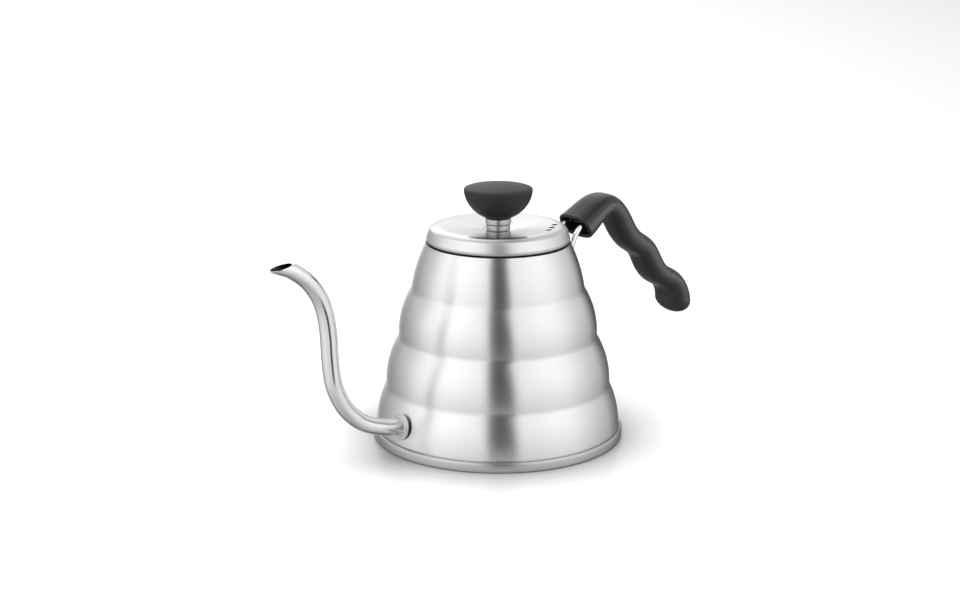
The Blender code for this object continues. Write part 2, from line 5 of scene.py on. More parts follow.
import bmesh
import bpy
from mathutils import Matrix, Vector


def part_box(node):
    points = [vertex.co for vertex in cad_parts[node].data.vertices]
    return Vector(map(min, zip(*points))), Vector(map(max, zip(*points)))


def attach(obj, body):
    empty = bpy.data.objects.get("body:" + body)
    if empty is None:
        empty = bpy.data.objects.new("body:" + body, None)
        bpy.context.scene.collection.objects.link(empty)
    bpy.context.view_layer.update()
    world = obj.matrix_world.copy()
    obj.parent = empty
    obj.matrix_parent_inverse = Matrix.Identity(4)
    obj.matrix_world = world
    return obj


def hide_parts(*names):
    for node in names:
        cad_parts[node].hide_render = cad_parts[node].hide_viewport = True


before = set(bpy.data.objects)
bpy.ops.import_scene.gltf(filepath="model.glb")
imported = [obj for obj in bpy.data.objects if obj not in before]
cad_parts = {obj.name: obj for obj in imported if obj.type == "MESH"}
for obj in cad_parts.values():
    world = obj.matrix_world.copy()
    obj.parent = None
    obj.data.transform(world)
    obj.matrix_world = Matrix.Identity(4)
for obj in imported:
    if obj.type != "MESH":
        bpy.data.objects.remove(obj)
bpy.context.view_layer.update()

MM = 0.001
GAP = 0.3 * MM
SHEET = 0.8 * MM
SIDEWAYS = Vector((0.0, 1.0, 0.0))
# Facets round a turned piece, a tube, a rod and the grip.
ROUND = 192
TUBE_SIDES = 48
ROD_SIDES = 32
GRIP_SIDES = 72
# How many times the brushing's texture runs over a metre of tube.
BRUSH_SCALE = 20
# Faces that meet at more than this angle keep a sharp edge between them.
SHARP_DEG = 40.0
# Points round an eased corner, and the most of its neighbouring edges that it may take up.
EASE_STEPS = 5
EASE_SHARE = 0.49

# Body wall: radius and height of each waist, and the wall's lean there in radians.
MOUTH = (41.4 * MM, 112.4 * MM)
LEDGE_Z = 113.4 * MM
NECK_R = 37.9 * MM
NECK_BOTTOM_Z = 109.4 * MM
WAISTS = [
    (49.5 * MM, 86.5 * MM),
    (56.8 * MM, 58.7 * MM),
    (64.4 * MM, 30.3 * MM),
    (70.0 * MM, 6.5 * MM),
]
WAIST_LEANS = [0.14, -0.06, -0.04, -0.01]
# The wall's points stand this far apart, and are smoothed this many times to soften the waists.
WALL_SPACING = 0.8 * MM
WAIST_SOFTENING = 3
# How far below the ledge's top the painted shade under the lid reaches.
LEDGE_SHADE = 0.25 * MM

# Lid: radius and height of its turning points from the stem's seat out to the hem.
LID_SEAT = (8.0 * MM, 120.0 * MM)
LID_CREST = (33.0 * MM, 122.9 * MM)
LID_SHOULDER = (38.8 * MM, 121.2 * MM)
LID_BULGE = (40.9 * MM, 115.9 * MM)
LID_HEM_R = 40.4 * MM
HEM_ROLL = 0.3 * MM
# The polish of the top gives way to the satin of the skirt from this radius.
SKIRT_FROM_R = LID_SHOULDER[0] - 0.4 * MM
# How the dish rises to the crest and how the crest rolls down to the shoulder: 1 would be straight.
DISH_POWER = 0.6
ROLL_POWER = 2.4
# The three vents stand in a straight row: the middle one's centre, the row's heading and its pitch.
VENT_R = 1.7 * MM
VENT_MIDDLE = (19.7 * MM, -23.6 * MM)
VENT_ROW_HEADING = 36.2
VENT_PITCH = 6.9 * MM

# Knob, its screw and its insert. The bowl starts and ends on its ellipse at these degrees from the bottom.
SCREW_R = 2.0 * MM
KNOB_FOOT = (7.2 * MM, 127.4 * MM)
KNOB_RIM = (19.5 * MM, 142.8 * MM)
KNOB_BOWL_FROM = 22.0
KNOB_BOWL_TO = 85.0
INSERT_R = 3.6 * MM
INSERT_TOP_Z = 138.5 * MM

# Spout: distance from the axis and height in millimetres, and heading in degrees, along its middle.
SPOUT_KNOTS = [
    (69.6, 17.3, 9.0),
    (83.0, 20.1, 15.0),
    (98.6, 27.4, 40.0),
    (109.3, 39.7, 62.0),
    (114.5, 53.5, 81.0),
    (116.2, 73.0, 88.0),
    (118.3, 90.6, 77.0),
    (123.8, 103.5, 57.0),
    (131.1, 112.0, 40.0),
    (138.0, 116.9, 31.0),
    (145.0, 120.3, 27.0),
]
SPOUT_R = 4.75 * MM
SPOUT_TIP_R = 4.3 * MM
SPOUT_SHEET = 0.5 * MM
# Share of the length after which the spout slims, the tip cut's heading, and the length its slant fades over.
SPOUT_SLIM_FROM = 0.6
TIP_CUT_DEG = -9.8
TIP_SLANT_OVER = 16.0 * MM
# How far out of the wall and into the body the spout's hole is cut.
SPOUT_HOLE_OUT = 3.0 * MM
SPOUT_HOLE_IN = 8.0 * MM
# How far the tip's rim is eased back from the cut, and the share of its wall that each ease takes up.
TIP_EASE = 0.18 * MM
TIP_EASE_SHARE = 0.22
COLLAR_FLANGE_R = 7.5 * MM
COLLAR_HUB_R = 6.0 * MM

# Handle grip: the same kind of knots, then thickness and width in millimetres at even steps along it.
GRIP_KNOTS = [
    (58.0, 113.8, 27.0),
    (68.1, 120.3, 33.0),
    (79.4, 124.7, -4.0),
    (87.3, 119.5, -48.0),
    (93.2, 110.9, -60.0),
    (101.2, 100.8, -41.0),
    (111.2, 93.7, -45.0),
    (116.8, 85.1, -61.0),
    (123.4, 76.6, -41.0),
    (132.9, 70.9, -38.0),
    (139.0, 61.8, -72.0),
    (138.8, 48.9, -108.0),
]
GRIP_THICKNESS = [15.4, 12.9, 13.0, 13.4, 13.5, 13.3, 13.1, 12.9, 12.6]
GRIP_WIDTH = [26.5, 24.0, 21.0, 19.8, 19.8, 21.2, 23.0, 25.2, 27.0]
GRIP_SQUARENESS = 2.75
GRIP_CAP = 8.5 * MM
GRIP_WALL = 2.0 * MM
GRIP_LIP = 0.9 * MM
POCKET_DEPTH = 21.0 * MM
# The screw that holds the grip on the tang: where it crosses the tang, and its hole and counterbore.
GRIP_SCREW_AT = (61.0, 116.1)
GRIP_SCREW_ALONG_TANG = 4.2 * MM
TANG_HEADING = 26.0
GRIP_SCREW_BELOW = 16.1 * MM
GRIP_SCREW_ABOVE = 3.4 * MM
GRIP_HOLE_R = 1.9 * MM
COUNTERBORE_R = 3.2 * MM
COUNTERBORE_SHARE = 0.32

# Bracket: the bent rods, and the saddle on the shoulder.
ROD_KNOTS = [(49.0, 103.4, 66.0), (51.7, 109.6, 64.0), (57.0, 115.3, 29.0), (68.0, 121.3, 29.0)]
ROD_R = 1.6 * MM
ROD_OFFSET = 7.0 * MM
SADDLE_TOP_Z = 104.0 * MM
SADDLE_LOW_Z = 94.0 * MM
SADDLE_HALF_ANGLE = 14.0
SADDLE_THICKNESS = 1.2 * MM

# Studio: where the camera stands, the way it looks, its lens, and the azimuth the lights are set out from.
CAMERA_AT = Vector((-0.6306, -0.7762, 0.3451))
CAMERA_LOOKS = Vector((0.6016, 0.7563, -0.2573))
CAMERA_LENS = 67.78
STUDIO_FRONT = math.degrees(math.atan2(CAMERA_AT.y, CAMERA_AT.x))
# The floor, how far the foot's painted shadow reaches over it, and how deep that shadow is.
FLOOR_SIZE = 30.0
FLOOR_Z = -0.05 * MM
CONTACT_REACH = 36.0 * MM
CONTACT_DEPTH = 1.55
OVERHEAD_SIZE = 3.0
OVERHEAD_AT = Vector((0.45, 0.56, 2.5))
OVERHEAD_POWER = 23.0
# The soft light all round the kettle: its power, by azimuth from the studio's front, and by elevation.
LIGHT_POWER = 1.42
BRIGHTEST = 1.4
AROUND = [
    (-180, 0.58), (-165, 0.83), (-152, 0.37), (-140, 0.35), (-110, 0.66), (-95, 0.97),
    (-78, 1.17), (-71, 0.72), (-64, 1.25), (-30, 1.02), (35, 0.94), (60, 1.07),
    (78, 1.05), (95, 0.87), (115, 0.66), (130, 0.55), (141, 0.27), (152, 0.14),
    (164, 0.11), (173, 0.40), (180, 0.58),
]
UPWARD = [
    (-90, 0.30), (-52, 0.40), (-35, 0.55), (-14, 0.64), (2, 0.85),
    (14, 1.0), (58, 1.0), (72, 0.58), (84, 0.25), (90, 0.20),
]
# The tall box behind the kettle, by azimuth from straight behind and by elevation.
REAR_AROUND = [(0, 1.0), (32, 1.0), (62, 0.0)]
REAR_UPWARD = [(-90, 0.0), (6, 0.0), (16, 1.0), (50, 1.0), (75, 0.0)]
REAR_LEVEL = 0.34
# The small soft box beside the handle: where it stands, what it faces, its size and its power.
SIDE_BOX_AT = Vector((0.30, -0.26, 0.10))
SIDE_BOX_FACES = Vector((0.10, 0.0, 0.09))
SIDE_BOX_SIZE = (0.26, 0.14)
SIDE_BOX_POWER = 0.31
# The black card close in front: how far off it stands, its level, and at its foot and top the height in
# metres and the middle and half width in degrees from the studio's front.
CARD_FAR = 0.27
CARD_LEVEL = 0.03
CARD_FOOT = (-0.05, 4.5, 11.5)
CARD_TOP = (1.3, -9.0, 16.5)


# ---------------------------------------------------------------- shapes


def loft(rings, lengths=None, closed=False):
    """A skin through rings of points. UVs run along it by the given lengths and once around it."""
    skin = bmesh.new()
    uv = skin.loops.layers.uv.new("along")
    made = [[skin.verts.new(point) for point in ring] for ring in rings]
    lengths = lengths or list(range(len(rings)))
    spans = list(zip(range(len(made)), range(1, len(made))))
    if closed:
        spans.append((len(made) - 1, 0))
    for low, high in spans:
        count = max(len(made[low]), len(made[high]))
        for here in range(count):
            corners = {}
            for ring, side in ((low, here), (low, here + 1), (high, here + 1), (high, here)):
                vert = made[ring][side % len(made[ring])] if len(made[ring]) > 1 else made[ring][0]
                corners.setdefault(vert, (lengths[ring], side / count))
            face = skin.faces.new(list(corners))
            for loop in face.loops:
                loop[uv].uv = corners[loop.vert]
    return skin


def show(name, skin, material, body, nodes, sharp=SHARP_DEG):
    """Puts a finished skin in the scene in place of its CAD nodes."""
    bmesh.ops.recalc_face_normals(skin, faces=skin.faces)
    mesh = bpy.data.meshes.new(name)
    skin.to_mesh(mesh)
    skin.free()
    mesh.materials.append(material)
    mesh.shade_smooth()
    mesh.set_sharp_from_angle(angle=math.radians(sharp))
    piece = bpy.data.objects.new(name, mesh)
    bpy.context.scene.collection.objects.link(piece)
    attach(piece, body)
    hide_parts(*nodes)
    return piece


def repaint(piece, material, chosen):
    """Gives the chosen faces of a piece another material."""
    piece.data.materials.append(material)
    for face in piece.data.polygons:
        if chosen(face):
            face.material_index = len(piece.data.materials) - 1


def level_ring(radius, height):
    """A level ring about the Z axis, or its pole where the radius is nothing."""
    if radius == 0.0:
        return [Vector((0.0, 0.0, height))]
    turns = [2.0 * math.pi * step / ROUND for step in range(ROUND)]
    return [Vector((radius * math.cos(a), radius * math.sin(a), height)) for a in turns]


def turned(outline):
    """The skin turned about Z from an outline of (radius, height), closed unless it starts on the axis."""
    on_axis = outline[0][0] == 0.0
    return loft([level_ring(r, z) for r, z in outline], closed=not on_axis)


def eased(outline, closed=True):
    """(radius, height, reach) corners as (radius, height) points, each corner rounded over its reach."""
    points = []
    for here, (radius, height, reach) in enumerate(outline):
        corner = Vector((radius, height))
        if reach == 0.0 or (not closed and here in (0, len(outline) - 1)):
            points.append(corner)
            continue
        before = Vector(outline[here - 1][:2]) - corner
        after = Vector(outline[(here + 1) % len(outline)][:2]) - corner
        start = corner + before.normalized() * min(reach, before.length * EASE_SHARE)
        end = corner + after.normalized() * min(reach, after.length * EASE_SHARE)
        for step in range(EASE_STEPS + 1):
            t = step / EASE_STEPS
            points.append(start * (1 - t) ** 2 + corner * (2 * t * (1 - t)) + end * t**2)
    return [(point.x, point.y) for point in points]


def arc(start, end, end_lean, steps):
    """Points from start down to end on the arc that leans end_lean from the vertical where it ends."""
    drop = start[1] - end[1]
    out = end[0] - start[0]
    chord_lean = math.atan2(out, drop)
    turn = 2.0 * (chord_lean - end_lean)
    radius = math.hypot(out, drop) / (2.0 * math.sin(turn / 2.0))
    start_lean = end_lean + turn
    points = []
    for step in range(steps + 1):
        lean = start_lean - turn * step / steps
        across = radius * (math.cos(lean) - math.cos(start_lean))
        down = radius * (math.sin(start_lean) - math.sin(lean))
        points.append((start[0] + across, start[1] - down))
    return points


def offset(outline, distance):
    """The open outline, listed downwards, moved towards the axis by distance."""
    moved = []
    for here, (radius, height) in enumerate(outline):
        before = outline[max(here - 1, 0)]
        after = outline[min(here + 1, len(outline) - 1)]
        along = Vector((after[0] - before[0], after[1] - before[1])).normalized()
        moved.append((radius + along.y * distance, height - along.x * distance))
    return moved


def body_wall():
    """The outside of the body from mouth to foot, its waists softened as in drawn sheet."""
    wall = []
    start = MOUTH
    for waist, lean in zip(WAISTS, WAIST_LEANS):
        steps = round((start[1] - waist[1]) / WALL_SPACING)
        wall += arc(start, waist, lean, steps)[:-1]
        start = waist
    wall.append(WAISTS[-1])
    for _ in range(WAIST_SOFTENING):
        middle = [
            ((a[0] + 2 * b[0] + c[0]) / 4, (a[1] + 2 * b[1] + c[1]) / 4)
            for a, b, c in zip(wall, wall[1:], wall[2:])
        ]
        wall = [wall[0]] + middle + [wall[-1]]
    return wall


def wall_radius(height):
    """Radius of the body's outside at this height."""
    wall = body_wall()
    for (r0, z0), (r1, z1) in zip(wall, wall[1:]):
        if z1 <= height <= z0:
            return r0 + (r1 - r0) * (z0 - height) / (z0 - z1)
    return wall[-1][0]


def heading_vector(degrees):
    """The unit vector in the XZ plane at this angle above +X."""
    angle = math.radians(degrees)
    return Vector((math.cos(angle), 0.0, math.sin(angle)))


def route(knots, steps):
    """Points and unit headings along a smooth curve through knots of (x, z, heading)."""
    found = []
    for (x0, z0, a0), (x1, z1, a1) in zip(knots, knots[1:]):
        start = Vector((x0, 0.0, z0)) * MM
        end = Vector((x1, 0.0, z1)) * MM
        reach = (end - start).length / 3.0
        lead = start + heading_vector(a0) * reach
        trail = end - heading_vector(a1) * reach
        for step in range(steps):
            t = step / steps
            u = 1.0 - t
            point = start * u**3 + lead * (3 * u * u * t) + trail * (3 * u * t * t) + end * t**3
            slope = (lead - start) * (u * u) + (trail - lead) * (2 * u * t) + (end - trail) * (t * t)
            found.append((point, slope.normalized()))
    x, z, angle = knots[-1]
    found.append((Vector((x, 0.0, z)) * MM, heading_vector(angle)))
    return found


def distances(stations):
    """How far along the route each station is."""
    travelled = [0.0]
    for (here, _), (there, _) in zip(stations, stations[1:]):
        travelled.append(travelled[-1] + (there - here).length)
    return travelled


def station_at(stations, travelled, distance):
    """The point and heading this far along the route."""
    here = 1
    while here < len(travelled) - 1 and travelled[here] < distance:
        here += 1
    t = (distance - travelled[here - 1]) / (travelled[here] - travelled[here - 1])
    (p0, h0), (p1, h1) = stations[here - 1], stations[here]
    return p0.lerp(p1, t), h0.lerp(h1, t).normalized()


def between(values, share):
    """The value at this share of the way along an even list, on a smooth curve through it."""
    place = min(max(share, 0.0), 1.0) * (len(values) - 1)
    low = min(int(place), len(values) - 2)
    t = place - low
    a, b, c, d = (values[min(max(low + step, 0), len(values) - 1)] for step in (-1, 0, 1, 2))
    return b + 0.5 * t * (c - a + t * (2 * a - 5 * b + 4 * c - d + t * (3 * (b - c) + d - a)))


def section(centre, heading, half_width, half_height, sides=TUBE_SIDES, squareness=2.0):
    """A rounded section square to the heading: a circle where squareness is 2, boxier above it."""
    upward = Vector((-heading.z, 0.0, heading.x))
    points = []
    for side in range(sides):
        angle = 2.0 * math.pi * side / sides
        wide = math.copysign(abs(math.cos(angle)) ** (2.0 / squareness), math.cos(angle))
        high = math.copysign(abs(math.sin(angle)) ** (2.0 / squareness), math.sin(angle))
        points.append(centre + SIDEWAYS * (wide * half_width) + upward * (high * half_height))
    return points


def rod(start, end, radius, sides=TUBE_SIDES):
    """A plain round rod from one point to another."""
    heading = (end - start).normalized()
    rings = [section(point, heading, radius, radius, sides) for point in (start, end)]
    return loft([[start]] + rings + [[end]])


def drill(piece, skins):
    """Cuts these skins out of the piece for good."""
    for number, skin in enumerate(skins):
        bmesh.ops.recalc_face_normals(skin, faces=skin.faces)
        mesh = bpy.data.meshes.new(f"drill_{number}")
        skin.to_mesh(mesh)
        skin.free()
        cutter = bpy.data.objects.new(f"drill_{number}", mesh)
        bpy.context.scene.collection.objects.link(cutter)
        modifier = piece.modifiers.new("drill", "BOOLEAN")
        modifier.operation = "DIFFERENCE"
        modifier.solver = "EXACT"
        modifier.object = cutter
        bpy.context.view_layer.update()
        cut_piece = piece.evaluated_get(bpy.context.evaluated_depsgraph_get())
        done = bpy.data.meshes.new_from_object(cut_piece)
        piece.modifiers.clear()
        piece.data = done
        bpy.data.objects.remove(cutter)
    piece.data.shade_smooth()
    piece.data.set_sharp_from_angle(angle=math.radians(SHARP_DEG))


# ---------------------------------------------------------------- materials


class Nodes:
    """A short way to write a node tree."""

    def __init__(self, tree):
        self.tree = tree
        tree.nodes.clear()

    def add(self, kind, inputs=None, **settings):
        node = self.tree.nodes.new(kind)
        for key, value in settings.items():
            setattr(node, key, value)
        for key, value in (inputs or {}).items():
            if isinstance(value, bpy.types.NodeSocket):
                self.tree.links.new(value, node.inputs[key])
            else:
                node.inputs[key].default_value = value
        return node

    def math(self, operation, first, second=0.0, third=0.0):
        node = self.add("ShaderNodeMath", {0: first, 1: second, 2: third}, operation=operation)
        return node.outputs[0]

    def ramp(self, factor, stops):
        node = self.add("ShaderNodeValToRGB", {"Fac": factor})
        elements = node.color_ramp.elements
        while len(elements) < len(stops):
            elements.new(0.5)
        for element, (place, value) in zip(elements, stops):
            element.position = place
            element.color = (value, value, value, 1.0)
        return node.outputs[0]


def new_material(name):
    """An empty material and its nodes."""
    made = bpy.data.materials.new(name)
    made.use_nodes = True
    return made, Nodes(made.node_tree)


def finish_material(nodes, shader):
    nodes.add("ShaderNodeOutputMaterial", {"Surface": shader.outputs[0]})


def steel(name, colour, roughness, anisotropy, lines, bump, along=False):
    """Steel with fine brushing: round the Z axis, or along a tube's own length where along is set."""
    mottle = 0.06
    made, nodes = new_material(name)
    if along:
        source = nodes.add("ShaderNodeUVMap", uv_map="along").outputs[0]
        stretch = (40.0, 90.0, 1.0)
        tangent = nodes.add("ShaderNodeTangent", direction_type="UV_MAP", uv_map="along")
    else:
        source = nodes.add("ShaderNodeTexCoord").outputs["Object"]
        stretch = (30.0, 30.0, lines)
        tangent = nodes.add("ShaderNodeTangent", direction_type="RADIAL", axis="Z")
    stretched = nodes.add("ShaderNodeMapping", {"Vector": source, "Scale": stretch}).outputs[0]
    fine = nodes.add(
        "ShaderNodeTexNoise", {"Vector": stretched, "Scale": 1.0, "Detail": 4.0, "Roughness": 0.65}
    )
    cloud_from = nodes.add("ShaderNodeTexCoord").outputs["Object"]
    cloud = nodes.add("ShaderNodeTexNoise", {"Vector": cloud_from, "Scale": 22.0, "Detail": 3.0})
    streak = nodes.math("MULTIPLY_ADD", fine.outputs["Fac"], 0.10, roughness - 0.05)
    rough = nodes.math("MULTIPLY_ADD", cloud.outputs["Fac"], mottle, streak)
    rough = nodes.math("SUBTRACT", rough, mottle * 0.5)
    tone = nodes.math("MULTIPLY_ADD", fine.outputs["Fac"], 0.10, 0.95)
    tinted = nodes.add("ShaderNodeVectorMath", {0: colour, "Scale": tone}, operation="SCALE")
    relief = nodes.add(
        "ShaderNodeBump", {"Height": fine.outputs["Fac"], "Strength": bump, "Distance": 0.02 * MM}
    )
    shader = nodes.add(
        "ShaderNodeBsdfPrincipled",
        {
            "Base Color": tinted.outputs[0],
            "Metallic": 1.0,
            "Roughness": rough,
            "Anisotropic": anisotropy,
            "Anisotropic Rotation": 0.25,
            "Tangent": tangent.outputs[0],
            "Normal": relief.outputs[0],
        },
    )
    finish_material(nodes, shader)
    return made


def phenolic(name, colour, roughness, grain, gloss):
    """Moulded black resin: a fine grain, and a slow drift of gloss where hands have been."""
    made, nodes = new_material(name)
    where = nodes.add("ShaderNodeTexCoord").outputs["Object"]
    speck = nodes.add("ShaderNodeTexNoise", {"Vector": where, "Scale": 2600.0, "Detail": 2.0})
    cloud = nodes.add("ShaderNodeTexNoise", {"Vector": where, "Scale": 35.0, "Detail": 3.0})
    rough = nodes.math("MULTIPLY_ADD", cloud.outputs["Fac"], 0.12, roughness - 0.06)
    rough = nodes.math("MULTIPLY_ADD", speck.outputs["Fac"], 0.08, nodes.math("SUBTRACT", rough, 0.04))
    tone = nodes.math("MULTIPLY_ADD", speck.outputs["Fac"], 0.30, 0.85)
    tinted = nodes.add("ShaderNodeVectorMath", {0: colour, "Scale": tone}, operation="SCALE")
    relief = nodes.add(
        "ShaderNodeBump", {"Height": speck.outputs["Fac"], "Strength": grain, "Distance": 0.05 * MM}
    )
    shader = nodes.add(
        "ShaderNodeBsdfPrincipled",
        {
            "Base Color": tinted.outputs[0],
            "Roughness": rough,
            "Specular IOR Level": gloss,
            "Normal": relief.outputs[0],
        },
    )
    finish_material(nodes, shader)
    return made


def brass(name):
    """Turned brass, dull with age, with rings round its axis."""
    made, nodes = new_material(name)
    where = nodes.add("ShaderNodeTexCoord").outputs["Object"]
    stretched = nodes.add("ShaderNodeMapping", {"Vector": where, "Scale": (60.0, 60.0, 3000.0)}).outputs[0]
    fine = nodes.add("ShaderNodeTexNoise", {"Vector": stretched, "Scale": 1.0, "Detail": 3.0})
    rough = nodes.math("MULTIPLY_ADD", fine.outputs["Fac"], 0.2, 0.22)
    tone = nodes.math("MULTIPLY_ADD", fine.outputs["Fac"], 0.2, 0.9)
    tinted = nodes.add("ShaderNodeVectorMath", {0: (0.30, 0.22, 0.10), "Scale": tone}, operation="SCALE")
    shader = nodes.add(
        "ShaderNodeBsdfPrincipled", {"Base Color": tinted.outputs[0], "Metallic": 1.0, "Roughness": rough}
    )
    finish_material(nodes, shader)
    return made


# Steels: colour, roughness, anisotropy, brush lines to a metre of height and relief. Resins: colour,
# roughness, grain and gloss. Dark steel stands for steel in deep shadow.
BODY_STEEL = steel("body_steel", (0.70, 0.70, 0.70), 0.34, 0.80, 5200.0, 0.25)
FOOT_STEEL = steel("foot_steel", (0.47, 0.47, 0.47), 0.40, 0.50, 5200.0, 0.25)
LID_STEEL = steel("lid_steel", (0.70, 0.70, 0.70), 0.22, 0.85, 3000.0, 0.12)
SKIRT_STEEL = steel("skirt_steel", (0.66, 0.66, 0.66), 0.40, 0.15, 3000.0, 0.12)
PAINTED_SHADE_STEEL = steel("painted_shade_steel", (0.05, 0.05, 0.05), 0.50, 0.0, 3000.0, 0.20)
SPOUT_STEEL = steel("spout_steel", (0.80, 0.785, 0.775), 0.19, 0.10, 0.0, 0.20, along=True)
STEM_STEEL = steel("stem_steel", (0.48, 0.48, 0.48), 0.36, 0.30, 4000.0, 0.08)
COLLAR_STEEL = steel("collar_steel", (0.58, 0.58, 0.58), 0.24, 0.20, 4000.0, 0.08)
ROD_STEEL = steel("rod_steel", (0.80, 0.80, 0.80), 0.14, 0.30, 0.0, 0.06, along=True)
PLAIN_STEEL = steel("plain_steel", (0.60, 0.60, 0.60), 0.36, 0.20, 3000.0, 0.20)
GRIP_RESIN = phenolic("grip_resin", (0.008, 0.008, 0.0095), 0.38, 0.18, 0.46)
KNOB_RESIN = phenolic("knob_resin", (0.012, 0.012, 0.013), 0.50, 0.30, 0.38)
BRASS = brass("turned_brass")


# ---------------------------------------------------------------- kettle


def make_body():
    """The sheet body, with its mouth turned in to a ledge and a neck, and the hole for the spout."""
    outside = body_wall()
    inside = offset(outside, SHEET)[::3]
    foot_r = WAISTS[-1][0]
    mouth = eased(
        [
            (MOUTH[0], MOUTH[1] - 0.4 * MM, 0.0),
            (MOUTH[0] - 0.1 * MM, LEDGE_Z, 1.1 * MM),
            (NECK_R, LEDGE_Z, 0.9 * MM),
            (NECK_R, NECK_BOTTOM_Z, 0.3 * MM),
            (NECK_R + SHEET, NECK_BOTTOM_Z, 0.3 * MM),
            (NECK_R + SHEET, LEDGE_Z - SHEET, 0.5 * MM),
            (MOUTH[0] - SHEET, LEDGE_Z - SHEET, 0.5 * MM),
            (inside[0][0], inside[0][1], 0.0),
        ],
        closed=False,
    )
    outline = [(foot_r, GAP)] + outside[:0:-1] + mouth[1:-1] + inside[1:] + [(foot_r - SHEET, GAP)]
    shell = show("body_shell_satin", turned(outline), BODY_STEEL, "root", ["body_shell"])
    root, heading = spout_stations(1)[0]
    bore = SPOUT_R - SPOUT_SHEET
    drill(shell, [rod(root + heading * SPOUT_HOLE_OUT, root - heading * SPOUT_HOLE_IN, bore)])
    # Painted shade: the ledge and the mouth's top under the lid's hem are painted dark steel.
    repaint(shell, PAINTED_SHADE_STEEL, lambda face: face.center.z > LEDGE_Z - LEDGE_SHADE)


def make_foot():
    """The rolled seam ring and the base pan inside it."""
    foot_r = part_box("seam_ring")[1].x
    inner = foot_r - 1.7 * MM
    ring = [
        (inner, 0.0, 0.1 * MM),
        (foot_r - 0.5 * MM, 0.0, 0.9 * MM),
        (foot_r, 1.9 * MM, 1.2 * MM),
        (foot_r, 4.6 * MM, 0.7 * MM),
        (foot_r - 0.7 * MM, 5.9 * MM, 0.6 * MM),
        (inner, 5.6 * MM, 0.2 * MM),
    ]
    show("seam_ring_rolled", turned(eased(ring)), FOOT_STEEL, "root", ["seam_ring"])
    pan_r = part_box("base_pan")[1].x
    rim_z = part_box("base_pan")[1].z
    pan = [
        (0.0, 0.0, 0.0),
        (pan_r * 0.55, 0.0, 0.0),
        (pan_r, 0.0, 1.4 * MM),
        (pan_r, rim_z, 0.3 * MM),
        (pan_r - SHEET, rim_z, 0.3 * MM),
        (pan_r - SHEET, SHEET, 1.0 * MM),
        (0.0, SHEET, 0.0),
    ]
    pressed = turned(eased(pan, closed=False))
    show("base_pan_pressed", pressed, FOOT_STEEL, "root", ["base_pan"])


def spout_stations(steps):
    """The spout's stations from root to tip, on the -X side."""
    return [
        (Vector((-p.x, 0.0, p.z)), Vector((-h.x, 0.0, h.z))) for p, h in route(SPOUT_KNOTS, steps)
    ]


def make_spout():
    """The swan-neck tube, cut on a slant at its tip, and the welded collar at its root."""
    stations = spout_stations(12)
    travelled = distances(stations)
    tip_heading = stations[-1][1]
    cut_line = heading_vector(180.0 - TIP_CUT_DEG)
    cut_normal = Vector((-cut_line.z, 0.0, cut_line.x))
    skins = []
    for radius in (SPOUT_R, SPOUT_R - SPOUT_SHEET):
        made = []
        for (centre, heading), distance in zip(stations, travelled):
            share = max(0.0, distance / travelled[-1] - SPOUT_SLIM_FROM) / (1.0 - SPOUT_SLIM_FROM)
            slim = radius - (SPOUT_R - SPOUT_TIP_R) * share
            slant = max(0.0, 1.0 - (travelled[-1] - distance) / TIP_SLANT_OVER) / heading.dot(cut_normal)
            ring = section(centre, heading, slim, slim)
            made.append([point - heading * ((point - centre).dot(cut_normal) * slant) for point in ring])
        skins.append(made)
    outer, inner = skins
    rim_out = [
        a.lerp(b, TIP_EASE_SHARE) + (a - c).normalized() * (0.02 * MM)
        for a, b, c in zip(outer[-1], inner[-1], outer[-2])
    ]
    rim_in = [b.lerp(a, TIP_EASE_SHARE) for a, b in zip(outer[-1], inner[-1])]
    for skin in skins:
        skin[-1] = [point - tip_heading * TIP_EASE for point in skin[-1]]
    rings = outer + [rim_out, rim_in] + inner[::-1]
    lengths = travelled + [travelled[-1]] * 2 + travelled[::-1]
    tube = loft(rings, [length * BRUSH_SCALE for length in lengths], closed=True)
    piece = show("spout_tube_drawn", tube, SPOUT_STEEL, "root", ["spout_tube"], sharp=50.0)
    # Painted shade: the bore inside the tube is painted dark steel.
    bore_from = (len(outer) + 1) * TUBE_SIDES
    bore_to = len(piece.data.polygons) - TUBE_SIDES
    repaint(piece, PAINTED_SHADE_STEEL, lambda face: bore_from <= face.index < bore_to)

    root, heading = stations[0]
    bore = SPOUT_R + 0.05 * MM
    profile = eased(
        [
            (bore, 0.0, 0.0),
            (COLLAR_FLANGE_R, 0.0, 0.1 * MM),
            (COLLAR_FLANGE_R, 0.9 * MM, 0.4 * MM),
            (COLLAR_HUB_R, 0.9 * MM, 0.3 * MM),
            (COLLAR_HUB_R - 0.2 * MM, 1.55 * MM, 0.4 * MM),
            (bore, 1.6 * MM, 0.1 * MM),
        ]
    )
    rings = [section(root + heading * high, heading, r, r, 2 * TUBE_SIDES) for r, high in profile]
    collar = loft(rings, closed=True)
    show("spout_collar_welded", collar, COLLAR_STEEL, "root", ["spout_collar"])


# ---------------------------------------------------------------- lid and knob


def lid_outside():
    """The lid's outside from the stem's seat over the crest and down the skirt to the hem."""
    points = [(SCREW_R + GAP, LID_SEAT[1])]
    steps = 40
    for step in range(steps + 1):
        t = step / steps
        radius = LID_SEAT[0] + (LID_CREST[0] - LID_SEAT[0]) * t
        points.append((radius, LID_SEAT[1] + (LID_CREST[1] - LID_SEAT[1]) * t**DISH_POWER))
    steps = 16
    for step in range(1, steps + 1):
        t = step / steps
        radius = LID_CREST[0] + (LID_SHOULDER[0] - LID_CREST[0]) * t
        points.append((radius, LID_CREST[1] + (LID_SHOULDER[1] - LID_CREST[1]) * t**ROLL_POWER))
    hem_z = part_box("lid_cap")[0].z
    for (r0, z0), (r1, z1), power, steps in (
        (LID_SHOULDER, LID_BULGE, 0.8, 14),
        (LID_BULGE, (LID_HEM_R, hem_z + HEM_ROLL), 2.0, 6),
    ):
        for step in range(1, steps + 1):
            t = step / steps
            points.append((r0 + (r1 - r0) * t**power, z0 + (z1 - z0) * t))
    return points


